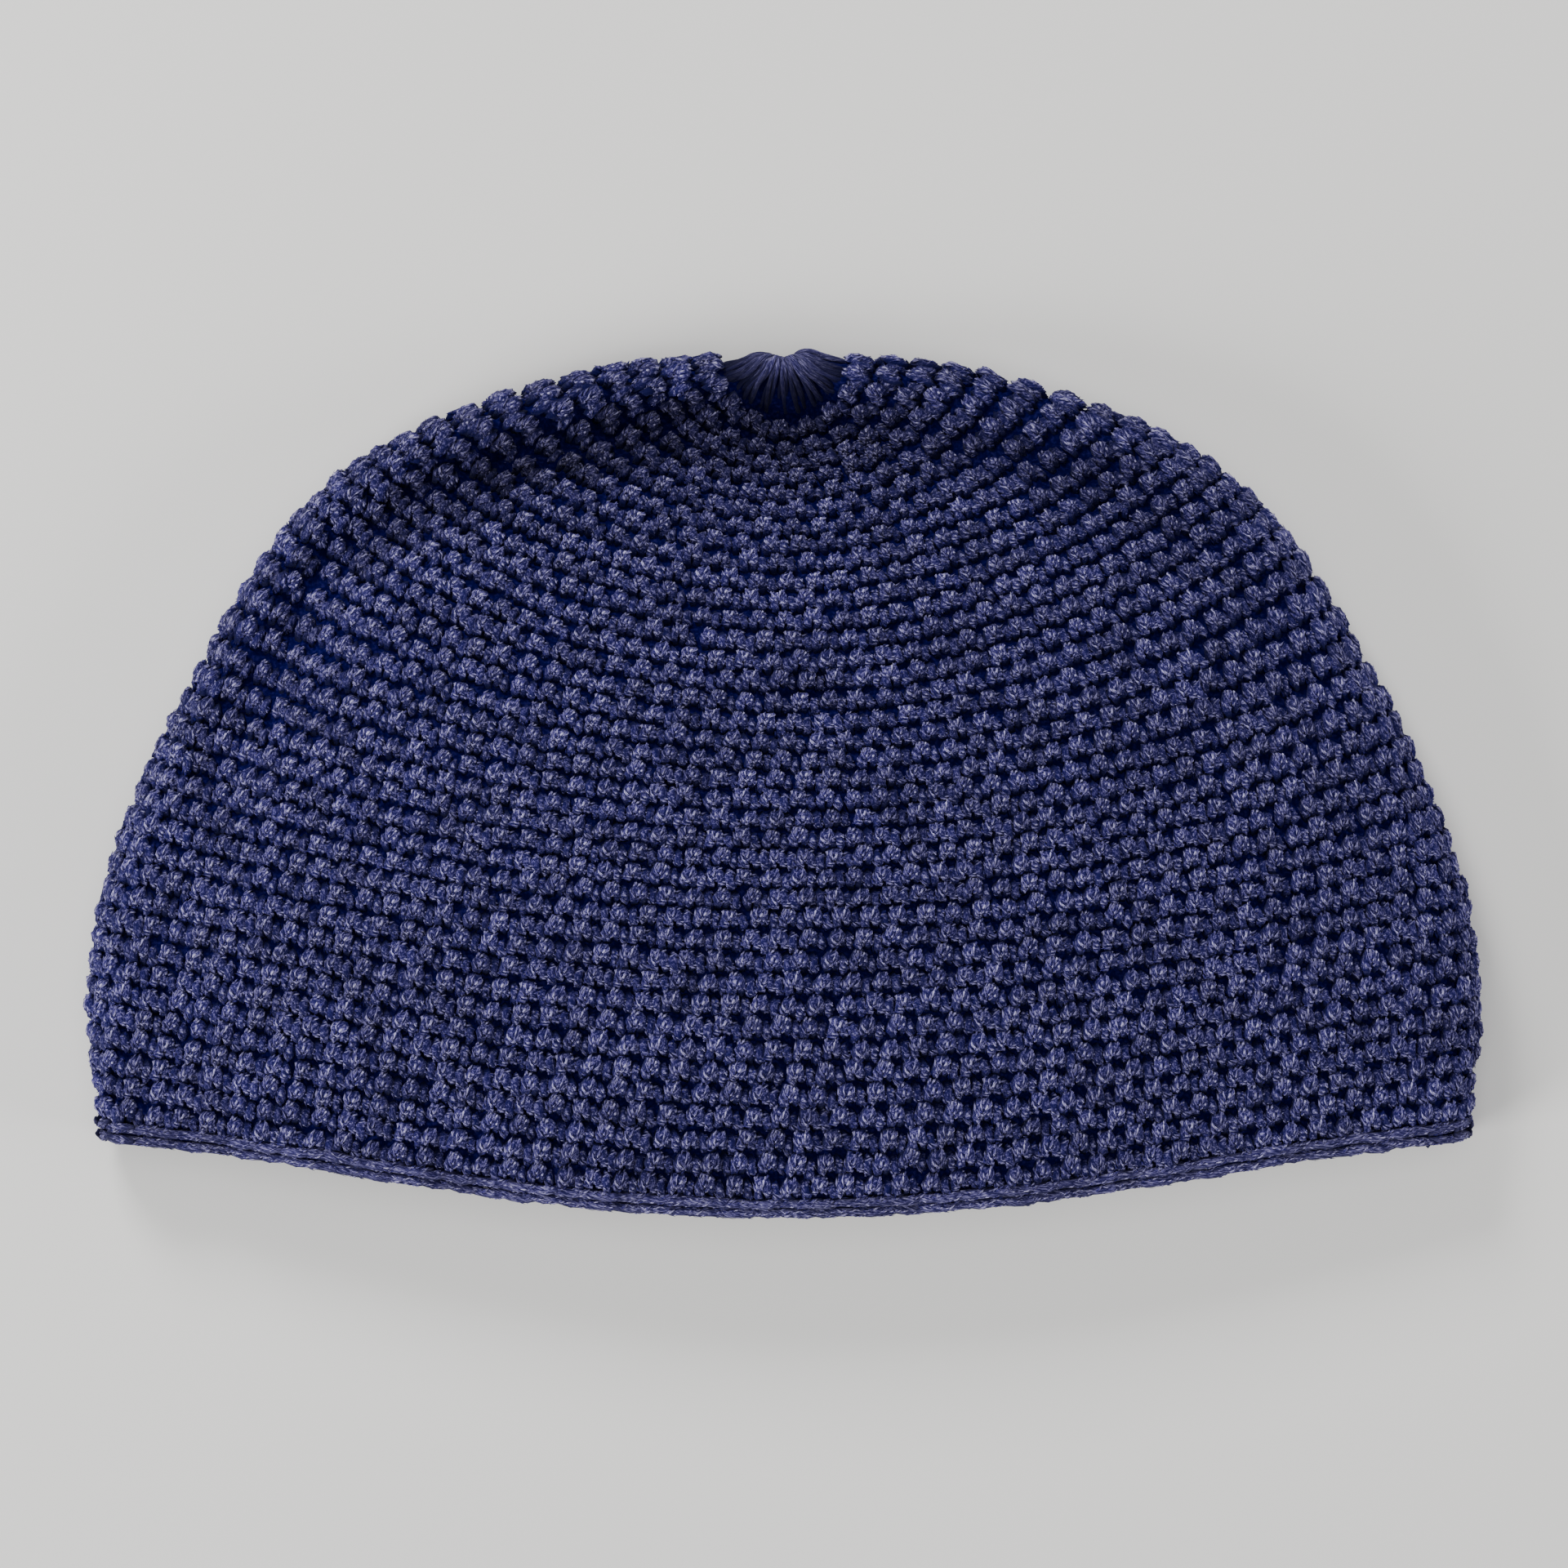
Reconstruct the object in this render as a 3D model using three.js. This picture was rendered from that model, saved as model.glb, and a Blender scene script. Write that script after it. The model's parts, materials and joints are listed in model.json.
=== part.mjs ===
// A crocheted kufi lying on its back wall, a little puffed: the mouth faces -Y and the crown's
// centre points to +Y. Millimetres, +Z up, origin on the floor under the middle of the cap.
import * as THREE from 'three';

// Driving sizes
const wallThickness = 4.2; // thick yarn, outer loops to inner loops
const foldRadius = 7.5; // outer bend where the front wall turns over into the back wall
const backSetback = 1.5; // how far the back wall's rim stays inside the front wall's rim
const swellPower = 0.8; // how softly the front wall's swell fades towards the side folds
const lastShellRound = 40; // the edging is the one round beyond this
const edgingHeight = 4; // along the wall
const edgingThickness = 4; // through the wall
const seamGap = 0.3; // between the shell's last round and the edging

// Facets
const ringCount = 24; // rings of facets from the crown's centre to the rim
const crownCrowding = 1.6; // above 1 the rings are closer together near the crown's centre
const aroundSteps = 64; // facets round each ring
const edgingSides = 8; // facets round the edging's own section
const foldLineSteps = 400; // points on the side fold's line, for distances to it

// Colour of the dark blue yarn
const yarnColour = 0x32355e;
const yarnRoughness = 0.92;

// One row for each measured round of stitches, counted from the crown's centre.
// reach: half the width between the side folds. foldY and frontY: where the round crosses the
// folds and the middle of the front wall. swell: how far the front rises above the folds there.
// lift: how far the round is drawn up towards the crown between its middle and the folds.
const sections = [
  { round: 0, reach: 0, foldY: 81.7, frontY: 81.7, swell: 0, lift: 0 },
  { round: 0.5, reach: 6, foldY: 81.7, frontY: 78.5, swell: 0, lift: 0 },
  { round: 1, reach: 11, foldY: 81.5, frontY: 69.5, swell: 0, lift: 0 },
  { round: 5, reach: 36, foldY: 78.7, frontY: 56.5, swell: 4, lift: 0 },
  { round: 10, reach: 70, foldY: 67.5, frontY: 39.5, swell: 16, lift: 0 },
  { round: 16, reach: 94, foldY: 49, frontY: 17, swell: 23, lift: 0 },
  { round: 22, reach: 112.5, foldY: 19, frontY: -4.5, swell: 25, lift: 0 },
  { round: 28, reach: 125, foldY: -8, frontY: -26.5, swell: 23, lift: 0.3 },
  { round: 34, reach: 131.5, foldY: -35.5, frontY: -51, swell: 18, lift: 1.2 },
  { round: 41, reach: 129.5, foldY: -67.5, frontY: -81.5, swell: 7, lift: 2.6 },
];

// Soft hollows in the front wall: middle, half lengths along and across, turn in degrees, depth.
const hollows = [
  { place: 'pit under the first round', x: 3, y: 69.5, along: 10, across: 5, turn: 0, depth: 2.5 },
  { place: 'dip below the pit', x: 0, y: 61, along: 28, across: 8, turn: 0, depth: 1.5 },
  { place: 'dent in the middle', x: 6, y: 16, along: 9, across: 5, turn: 5, depth: 3 },
];

// Waves of the front wall that follow a side fold: middle and half length across the cap, how far
// inside the fold they run, half width, and depth. A depth below zero is a rise.
const foldWaves = [
  { place: 'left crown lip', x: -56, halfLength: 60, inside: 4.5, halfWidth: 5, depth: -1.2 },
  { place: 'left crown valley', x: -50, halfLength: 56, inside: 14, halfWidth: 7.5, depth: 5 },
  { place: 'right crown valley', x: 50, halfLength: 44, inside: 14, halfWidth: 7, depth: 2.5 },
];

// Slope of a section column at one row, from its two neighbours
function slopeAtRow(index, column) {
  const before = sections[Math.max(index - 1, 0)];
  const after = sections[Math.min(index + 1, sections.length - 1)];
  return (after[column] - before[column]) / (after.round - before.round);
}

// Smooth value of a section column at any round
function columnAt(round, column) {
  let index = 0;
  while (index < sections.length - 2 && sections[index + 1].round < round) {
    index += 1;
  }
  const from = sections[index];
  const to = sections[index + 1];
  const span = to.round - from.round;
  const t = (round - from.round) / span;
  const startTangent = slopeAtRow(index, column) * span;
  const endTangent = slopeAtRow(index + 1, column) * span;
  const rise = to[column] - from[column];
  const cubic = startTangent + endTangent - 2 * rise;
  const square = 3 * rise - 2 * startTangent - endTangent;
  return from[column] + t * (startTangent + t * (square + t * cubic));
}

// The right side fold, from the crown's centre to the rim's corner; the left one mirrors it
function makeFoldLine() {
  const lastRound = sections[sections.length - 1].round;
  const line = [];
  for (let step = 0; step <= foldLineSteps; step += 1) {
    const round = (lastRound * step) / foldLineSteps;
    line.push(new THREE.Vector2(columnAt(round, 'reach'), columnAt(round, 'foldY')));
  }
  return line;
}

const foldLine = makeFoldLine();

// Distance in plan from a point to the nearer side fold
function foldDistance(x, y) {
  const point = new THREE.Vector2(Math.abs(x), y);
  let nearest = Infinity;
  for (let step = 0; step < foldLineSteps; step += 1) {
    const start = foldLine[step];
    const along = foldLine[step + 1].clone().sub(start);
    const toPoint = point.clone().sub(start);
    const share = THREE.MathUtils.clamp(toPoint.dot(along) / along.lengthSq(), 0, 1);
    nearest = Math.min(nearest, toPoint.addScaledVector(along, -share).length());
  }
  return nearest;
}

// Depth of all the hollows and waves together at a point of the front wall
function hollowDepth(x, y, inside) {
  let depth = 0;
  for (const wave of foldWaves) {
    const along = (x - wave.x) / wave.halfLength;
    const across = (inside - wave.inside) / wave.halfWidth;
    depth += wave.depth * Math.exp(-(along ** 4) - across ** 2);
  }
  for (const hollow of hollows) {
    const offset = new THREE.Vector2(x - hollow.x, y - hollow.y);
    offset.rotateAround(new THREE.Vector2(), -THREE.MathUtils.degToRad(hollow.turn));
    const spread = (offset.x / hollow.along) ** 2 + (offset.y / hollow.across) ** 2;
    depth += hollow.depth * Math.exp(-spread);
  }
  return depth;
}

// A point of the outer surface: angle 0 is the right fold, the front wall is from 0 to pi
function wallPoint(round, angle) {
  const isFront = Math.sin(angle) >= 0;
  const across = Math.cos(angle);
  const reach = columnAt(round, 'reach');
  const foldY = columnAt(round, 'foldY');
  const setback = isFront ? 0 : (backSetback * round) / lastShellRound;
  const middleY = columnAt(round, 'frontY') + setback;
  const sag = foldY - middleY;
  const bend = 2 * Math.atan2(sag, reach);
  const bendRadius = (reach ** 2 + sag ** 2) / (2 * sag);
  const x = bendRadius * Math.sin(bend * across);
  const lift = columnAt(round, 'lift') * Math.sin(Math.PI * across ** 2);
  const y = middleY + bendRadius * (1 - Math.cos(bend * across)) + lift;
  const inside = foldDistance(x, y);
  const inward = foldRadius - Math.min(inside, foldRadius);
  const turnOver = Math.sqrt(foldRadius ** 2 - inward ** 2);
  if (!isFront) {
    return new THREE.Vector3(x, y, foldRadius - turnOver);
  }
  const fade = Math.max(1 - across ** 2, 0) ** swellPower;
  const hollowFade = turnOver / foldRadius;
  const swell = columnAt(round, 'swell') * fade - hollowDepth(x, y, inside) * hollowFade;
  return new THREE.Vector3(x, y, foldRadius + turnOver + swell);
}

// Outward direction of the wall, square to it
function wallNormal(round, angle) {
  const roundStep = 0.1;
  const angleStep = 0.02;
  const alongWall = wallPoint(round + roundStep, angle).sub(wallPoint(round - roundStep, angle));
  const aroundWall = wallPoint(round, angle + angleStep).sub(wallPoint(round, angle - angleStep));
  return aroundWall.cross(alongWall).normalize();
}

// The rounds and angles where facets meet
function ringRound(ring) {
  return lastShellRound * (ring / ringCount) ** crownCrowding;
}

function stepAngle(step) {
  return (2 * Math.PI * step) / aroundSteps;
}

// Index-based solid from points and triangles
function solidGeometry(points, triangles) {
  const geometry = new THREE.BufferGeometry();
  geometry.setAttribute('position', new THREE.Float32BufferAttribute(points.flatMap((p) => p.toArray()), 3));
  geometry.setIndex(triangles.flat());
  geometry.computeVertexNormals();
  return geometry;
}

// Two triangles of one four-sided facet
function facet(a, b, c, d) {
  return [[a, b, c], [a, c, d]];
}

// The shell: one wall with an outer and an inner surface, closed at the crown, open at the mouth
function makeShell() {
  const crown = new THREE.Vector3(0, sections[0].foldY, foldRadius);
  const outer = [crown];
  const inner = [crown.clone().setY(crown.y - wallThickness)];
  for (let ring = 1; ring <= ringCount; ring += 1) {
    for (let step = 0; step < aroundSteps; step += 1) {
      const point = wallPoint(ringRound(ring), stepAngle(step));
      const normal = wallNormal(ringRound(ring), stepAngle(step));
      outer.push(point);
      inner.push(point.clone().addScaledVector(normal, -wallThickness));
    }
  }
  const innerStart = outer.length;
  const vertexAt = (ring, step) => 1 + (ring - 1) * aroundSteps + (step % aroundSteps);
  const triangles = [];
  for (let step = 0; step < aroundSteps; step += 1) {
    const near = vertexAt(1, step);
    const far = vertexAt(1, step + 1);
    triangles.push([0, far, near], [innerStart, innerStart + near, innerStart + far]);
    for (let ring = 1; ring < ringCount; ring += 1) {
      const a = vertexAt(ring, step);
      const b = vertexAt(ring + 1, step);
      const c = vertexAt(ring + 1, step + 1);
      const d = vertexAt(ring, step + 1);
      triangles.push(...facet(d, c, b, a));
      triangles.push(...facet(innerStart + a, innerStart + b, innerStart + c, innerStart + d));
    }
    const rim = vertexAt(ringCount, step);
    const nextRim = vertexAt(ringCount, step + 1);
    triangles.push(...facet(nextRim, innerStart + nextRim, innerStart + rim, rim));
  }
  return solidGeometry([...outer, ...inner], triangles);
}

// The edging: a rounded band that runs along the rim, just past the shell's last round
function makeEdging() {
  const points = [];
  const triangles = [];
  const halfHeight = edgingHeight / 2;
  const halfThickness = edgingThickness / 2;
  for (let step = 0; step < aroundSteps; step += 1) {
    const angle = stepAngle(step);
    const rim = wallPoint(lastShellRound, angle);
    const outward = wallNormal(lastShellRound, angle);
    const before = wallPoint(lastShellRound - 1, angle);
    const along = rim.clone().sub(before);
    along.addScaledVector(outward, -along.dot(outward)).normalize();
    const middle = rim.clone().addScaledVector(outward, -wallThickness / 2);
    middle.addScaledVector(along, seamGap + halfHeight);
    for (let side = 0; side < edgingSides; side += 1) {
      const turn = (2 * Math.PI * side) / edgingSides;
      const point = middle.clone().addScaledVector(outward, halfThickness * Math.cos(turn));
      points.push(point.addScaledVector(along, halfHeight * Math.sin(turn)));
    }
  }
  const vertexAt = (step, side) => (step % aroundSteps) * edgingSides + (side % edgingSides);
  for (let step = 0; step < aroundSteps; step += 1) {
    for (let side = 0; side < edgingSides; side += 1) {
      const a = vertexAt(step, side);
      const b = vertexAt(step, side + 1);
      const c = vertexAt(step + 1, side + 1);
      const d = vertexAt(step + 1, side);
      triangles.push(...facet(d, c, b, a));
    }
  }
  return solidGeometry(points, triangles);
}

// A named piece in the yarn's colour
function yarnPiece(name, geometry) {
  const yarn = new THREE.MeshStandardMaterial({ color: yarnColour, roughness: yarnRoughness, metalness: 0 });
  const piece = new THREE.Mesh(geometry, yarn);
  piece.name = name;
  return piece;
}

const kufi = new THREE.Group();
kufi.add(yarnPiece('crochet_shell', makeShell()));
kufi.add(yarnPiece('rim_edging', makeEdging()));

export default kufi;
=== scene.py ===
"""A crocheted kufi lying on its back wall: yarn stitches, crown fan, chain edging and studio."""
import json
import math

import bpy
import numpy as np
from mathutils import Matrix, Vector

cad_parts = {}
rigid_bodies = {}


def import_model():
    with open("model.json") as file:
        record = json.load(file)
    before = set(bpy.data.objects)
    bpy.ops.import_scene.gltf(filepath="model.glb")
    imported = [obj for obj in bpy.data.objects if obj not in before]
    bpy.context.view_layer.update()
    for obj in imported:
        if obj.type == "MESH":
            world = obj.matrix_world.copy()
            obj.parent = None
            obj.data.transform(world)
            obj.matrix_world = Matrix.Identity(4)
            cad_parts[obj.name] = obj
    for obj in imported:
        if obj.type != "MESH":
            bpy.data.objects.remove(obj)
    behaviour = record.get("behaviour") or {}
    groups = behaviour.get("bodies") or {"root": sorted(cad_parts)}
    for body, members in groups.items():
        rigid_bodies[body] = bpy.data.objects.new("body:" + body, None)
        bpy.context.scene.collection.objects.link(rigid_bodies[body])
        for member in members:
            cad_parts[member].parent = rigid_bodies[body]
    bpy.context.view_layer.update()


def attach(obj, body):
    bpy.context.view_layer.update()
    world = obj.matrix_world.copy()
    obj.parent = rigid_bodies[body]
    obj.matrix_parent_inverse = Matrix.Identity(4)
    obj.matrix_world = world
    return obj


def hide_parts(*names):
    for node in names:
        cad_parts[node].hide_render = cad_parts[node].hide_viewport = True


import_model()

# Sizes of the cap, in millimetres
MM = 0.001
WALL = 4.2
FOLD_RADIUS = 7.5
BACK_SETBACK = 1.5
SWELL_POWER = 0.8
LAST_SHELL_ROUND = 40
FOLD_LINE_STEPS = 240
FOLD_LINE_CROWDING = 1.8  # above 1 the steps are shorter near the crown's centre

# One row for each measured round, counted from the crown's centre:
# half width between the side folds, where the round crosses the folds and the middle of the
# front wall, how far the front swells above the folds, and how far the round is drawn up.
SECTION_COLUMNS = ("round", "reach", "fold_y", "front_y", "swell", "lift")
SECTIONS = np.array([
    (0, 0, 81.7, 81.7, 0, 0),
    (0.5, 6, 81.7, 78.5, 0, 0),
    (1, 11, 81.5, 69.5, 0, 0),
    (5, 36, 78.7, 56.5, 4, 0),
    (10, 70, 67.5, 39.5, 16, 0),
    (16, 94, 49, 17, 23, 0),
    (22, 112.5, 19, -4.5, 25, 0),
    (28, 125, -8, -26.5, 23, 0.3),
    (34, 131.5, -35.5, -51, 18, 1.2),
    (41, 129.5, -67.5, -81.5, 7, 2.6),
])

# Soft hollows in the front wall: middle, half lengths along and across, turn in degrees, depth
HOLLOW_COLUMNS = ("x", "y", "along", "across", "turn", "depth")
HOLLOWS = [
    (3, 69.5, 10, 5, 0, 2.5),
    (0, 61, 28, 8, 0, 1.5),
    (6, 16, 9, 5, 5, 3),
]

# Waves along a side fold: middle and half length across the cap, how far inside the fold,
# half width, and depth, which is below zero where the wall rises
WAVE_COLUMNS = ("x", "half_length", "inside", "half_width", "depth")
WAVES = [
    (-56, 60, 4.5, 5, -1.2),
    (-50, 56, 14, 7.5, 5),
    (50, 44, 14, 7, 2.5),
]
HOLLOW_SHADE_DEPTH = 4.5  # painted shade: hollows from this depth on give their yarn the darkest painted shade
HOLLOW_SHADE_FADE = (34, 56)  # how far towards the crown the painted shade in hollows begins, and where it is whole
HOLLOW_SHADE_DIMMING = 0.42  # share of its colour that the yarn keeps under the darkest painted shade

# The crochet: stitches in each round
STITCH_PITCH = 5.1  # along a round
RIM_STITCHES = 104
LEAN_PER_ROUND = 0.24  # share of a stitch that each round moves on from the round above it
LAST_STITCH_ROUND = 40
LOOP_SAMPLES = 1441  # along a round, to measure it
STITCH_BANDS = [("crown", 2, 16), ("upper", 17, 25), ("middle", 26, 33), ("lower", 34, LAST_STITCH_ROUND)]
INSIDE_ROUNDS = (2, 41)
STITCH_WIDTH = 4.75  # the plain stitch, before it is fitted to its place
STITCH_HEIGHT = 2.65
STITCH_STRETCH = (0.8, 1.95)  # how far a stitch is fitted to the height of its round
FOLD_FILL = 0.82  # how much of that height it follows at a side fold
FOLD_REACH = (3, 9)  # how far inside the fold this is whole, and where it ends
WALL_FILL = (0.50, 0.85)  # how much it follows inside the folds, in the crown and near the rim
WALL_FILL_ROUNDS = (12, 34)

# Strands of one stitch: along the round, towards the crown, outward from the wall, and radius
LOOP_STRAND = [
    (-1.45, -1.60, -2.25, 0.74),
    (-1.78, -0.68, -1.25, 0.98),
    (-1.50, 0.24, -0.85, 1.05),
    (-0.82, 0.60, -0.70, 1.09),
    (-0.12, 0.24, -0.87, 1.04),
    (0.04, -0.50, -1.32, 0.94),
    (-0.28, -1.16, -2.08, 0.75),
]
LEG_STRAND = [
    (1.00, 0.48, -2.05, 0.68),
    (1.34, 0.02, -1.28, 0.94),
    (1.58, -0.56, -1.06, 0.98),
    (1.57, -1.15, -1.46, 0.89),
    (1.22, -1.70, -2.26, 0.64),
]
INNER_STRAND = [
    (-3.00, -0.50, -1.90, 0.80),
    (-1.60, 0.20, -1.10, 0.92),
    (0.00, 0.55, -0.95, 0.95),
    (1.60, 0.20, -1.10, 0.92),
    (3.00, -0.50, -1.90, 0.80),
]

# Rows along each strand's tube, and sides round it
LOOP_STEPS = 6
LEG_STEPS = 4
INNER_STEPS = 4
STITCH_SIDES = 5
INNER_SIDES = 4

# How many versions of the strands there are, and how uneven they are
STITCH_VERSIONS = {"variants": 8, "unevenness": 0.14, "seed": 11}
INNER_VERSIONS = {"variants": 4, "unevenness": 0.09, "seed": 12}
EDGING_VERSIONS = {"variants": 6, "unevenness": 0.10, "seed": 13}
RADIUS_UNEVENNESS = 0.6  # share of this that a strand's radius has

# How far each stitch or link is shifted, turned in radians and changed in size
STITCH_PLAY = {"Shift": 0.18 * MM, "Turn": 0.14, "Size change": 0.08}
INNER_PLAY = {"Shift": 0.1 * MM, "Turn": 0.08, "Size change": 0.05}
EDGING_PLAY = {"Shift": 0.1 * MM, "Turn": 0.05, "Size change": 0.04}
EDGING_SEED = 5
SHIFT_DRAW = 10  # added to a seed, so that shift, turn and size are drawn apart
TURN_DRAW = 20
SIZE_DRAW = 30

# Loose fibres on each strand of a stitch or link: how many, half their turn round it in
# radians, and half their way along it
STITCH_FUZZ = {"counts": (23, 13), "sweep": 0.75, "advance": 0.25, "seed": 15}
EDGING_FUZZ = {"counts": (17, 17), "sweep": 0.22, "advance": 0.8, "seed": 16}
FIBRE_SPOTS = (0.12, 0.88)  # where along the strand a fibre's middle may be
FIBRE_OVERHANG = 0.3  # how far below the strand's sides it may be, in radians
FIBRE_SWEEP_CHANGE = 0.3
FIBRE_LIFTS = (-0.05, 0.02, -0.05)  # of its start, middle and end above the strand
FIBRE_HALF_WIDTH = 0.23
FIBRE_WIDTH_RANGE = (0.7, 1.3)
FIBRE_RISE = 0.12
FIBRE_GRAIN = [(0, 0, 0), (1.1, -0.7, 0), (1.1, 0.7, 0), (2.2, 0, 0)]  # where its corners are in the streaks
GRAIN_SPREAD = 60
LOOSE_SHARE = 0.3  # of the fibres have one end standing off
LOOSE_LIFT = 0.35

# The chain edging, and the strands of one link in the same directions
EDGING_ROUND = 40.45
EDGING_LINK_WIDTH = 5.2
EDGING_UPPER_STRAND = [
    (-5.20, 0.45, -1.55, 0.35),
    (-2.60, 0.85, -1.00, 0.85),
    (0.00, 1.05, -0.85, 0.98),
    (2.60, 1.15, -0.95, 0.90),
    (5.20, 1.75, -1.60, 0.35),
]
EDGING_LOWER_STRAND = [
    (-5.20, -0.55, -1.65, 0.40),
    (-2.60, -0.95, -1.15, 0.88),
    (0.00, -1.10, -1.00, 0.98),
    (2.60, -1.15, -1.05, 0.92),
    (5.20, -1.00, -1.65, 0.40),
]
EDGING_STEPS = 8
EDGING_SIDES = 6

# The fan of long yarns that closes the crown
FAN_YARNS = 34
FAN_PLIES = 3  # twisted together in each yarn
FAN_TWIST = 5.5  # radians from end to end
FAN_SPREAD = 0.26  # of the way to the next yarn, where a ply is to one side
FAN_STEPS = 22
FAN_REACH = (1.00, 1.08)  # of the path's rounds, in the middle of a wall and at a side fold
FAN_STEADY_ROUND = 0.45  # nearer the centre the yarns keep the wall's direction here
FAN_SIDES = 6
FAN_SEED = 14
FAN_PLACE_CHANGE = 0.10  # of the way to the next yarn
FAN_THICKNESS_RANGE = (0.85, 1.15)
FAN_SINK_CHANGE = 0.2
FAN_PLY_RISE = 0.5  # of its radius, where a ply lies over the others

# How deep the fan's yarns lie and how thick they are, from the centre to the second round
FAN_COLUMNS = ("round", "depth", "radius")
FAN_PATH = [
    (0.10, 2.20, 0.26),
    (0.18, 1.00, 0.33),
    (0.30, 0.55, 0.43),
    (0.44, 0.75, 0.50),
    (0.58, 1.45, 0.50),
    (0.76, 1.95, 0.50),
    (1.00, 2.30, 0.48),
    (1.30, 2.90, 0.44),
]

# The wall behind the stitches, with a rib under each round
BACKING_RIB_DEPTH = 1.25
BACKING_GROOVE_DEPTH = 2.0
BACKING_INNER_DEPTH = 3.1
BACKING_RINGS_PER_ROUND = 2
BACKING_STEPS = 168

# The yarn's looks: shades from the darkest to the palest fleck, with the noise that reaches each,
# the palest flecks partly the yarn's own pale fibres and partly painted highlight; how the flecks
# turn in degrees, how fine they are along and round a strand; and the painted shade: the depth in
# millimetres from which the yarn has its dark painted shade colour where it dips between and
# under strands
STITCH_YARN = {
    "shades": [
        (0.42, (0.0045, 0.0036, 0.050)),
        (0.50, (0.0175, 0.0150, 0.084)),
        (0.58, (0.074, 0.064, 0.192)),
        (0.68, (0.255, 0.233, 0.425)),
    ],
    "fleck_turn": 112,
    "fleck_fineness": (2.4, 4.6),
    "painted_shade_depth": -1.35,
    "painted_shade_colour": (0.0024, 0.0020, 0.048),
}
LONG_YARN = {
    "shades": [
        (0.40, (0.0075, 0.006, 0.048)),
        (0.48, (0.030, 0.0255, 0.100)),
        (0.56, (0.092, 0.082, 0.206)),
        (0.68, (0.280, 0.259, 0.440)),
    ],
    "fleck_turn": 10,
    "fleck_fineness": (0.7, 4.2),
    "painted_shade_depth": -1.6,
    "painted_shade_colour": (0.006, 0.005, 0.034),
}
YARN_GIRTH = 5.0  # round a strand, in millimetres
YARN_FLECKS = {"Scale": 1.0, "Detail": 2.5, "Roughness": 0.7, "Distortion": 0.5}
YARN_BUMP = {"Strength": 0.8, "Distance": 0.0004}
YARN_SURFACE = {
    "Roughness": 0.75,
    "Specular IOR Level": 0.08,
    "Sheen Weight": 0.03,
    "Sheen Roughness": 0.5,
    "Sheen Tint": (0.6, 0.65, 0.9, 1),
}
TINT_SHIFT = (37.0, 53.0, 91.0)  # moves the flecks on from one stitch to the next
TINT_RANGE = (0.75, 1.2)  # from the darkest to the lightest stitch

# The looks of fibres, backing and floor
# the palest fibre shades are partly the fibres' own pale tone and partly painted highlight
FIBRE_SHADES = [
    (0.36, (0.011, 0.0086, 0.080)),
    (0.46, (0.062, 0.054, 0.168)),
    (0.56, (0.190, 0.174, 0.340)),
    (0.70, (0.430, 0.402, 0.610)),
]
# painted shade on the fibres: the depth from which they take this dark colour, where they dip between and
# under strands
FIBRE_PAINTED_SHADE_DEPTH = -1.35
FIBRE_PAINTED_SHADE_COLOUR = (0.0030, 0.0020, 0.064)
FIBRE_STREAKS = {"Scale": 1.0, "Detail": 2.0, "Roughness": 0.6}
FIBRE_SURFACE = {"Roughness": 0.8, "Specular IOR Level": 0.06}
# the backing's colours are the yarn's own navy darkened with painted shade for the gaps between stitches
BACKING_SHADES = [
    (0.40, (0.0014, 0.0010, 0.034)),
    (0.52, (0.0028, 0.0021, 0.045)),
    (0.66, (0.0095, 0.0078, 0.070)),
]
BACKING_GRAIN = {"Scale": 1500.0, "Detail": 3.0}
BACKING_SURFACE = {"Roughness": 0.95, "Specular IOR Level": 0.0}
FLOOR_SHADES = [
    (0.3, (0.76, 0.75, 0.73)),
    (0.7, (0.80, 0.79, 0.77)),
]
FLOOR_GRAIN = {"Scale": 3.0}
FLOOR_SURFACE = {"Roughness": 0.7}

# Studio in metres: camera above the cap, floor, lights with place, size and watts, light all round
CAMERA_HEIGHT = 0.80
CAMERA_LENS = 96.2
SENSOR_WIDTH = 36
FLOOR_HALF_SIZE = 3.0
LIGHTS = [
    ("crown_side_key", (-0.48, 0.98, 0.70), 0.4, 15),
    ("mouth_side_fill", (-1.10, -0.55, 0.52), 0.6, 19),
    ("right_side_fill", (1.15, -0.25, 0.42), 0.6, 10),
    ("overhead_soft", (0, 0, 1.6), 1.2, 10),
]
WORLD_COLOUR = (0.9, 0.92, 0.95, 1)
WORLD_STRENGTH = 0.20


# Shape of the wall

def section_column(name):
    return SECTIONS[:, SECTION_COLUMNS.index(name)]


def column_at(rounds, name):
    """Smooth value of a section column at any round."""
    knots = section_column("round")
    values = section_column(name)
    last = len(knots) - 1
    before = np.maximum(np.arange(last + 1) - 1, 0)
    after = np.minimum(np.arange(last + 1) + 1, last)
    slopes = (values[after] - values[before]) / (knots[after] - knots[before])
    index = np.clip(np.searchsorted(knots, rounds) - 1, 0, last - 1)
    span = knots[index + 1] - knots[index]
    t = (rounds - knots[index]) / span
    start = slopes[index] * span
    end = slopes[index + 1] * span
    rise = values[index + 1] - values[index]
    square = 3 * rise - 2 * start - end
    cubic = start + end - 2 * rise
    return values[index] + t * (start + t * (square + t * cubic))


def make_fold_line():
    """The right side fold from the crown's centre to the rim; the left one mirrors it."""
    share = np.linspace(0, 1, FOLD_LINE_STEPS + 1) ** FOLD_LINE_CROWDING
    rounds = share * section_column("round")[-1]
    return np.stack([column_at(rounds, "reach"), column_at(rounds, "fold_y")], axis=1)


FOLD_LINE = make_fold_line()


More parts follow.
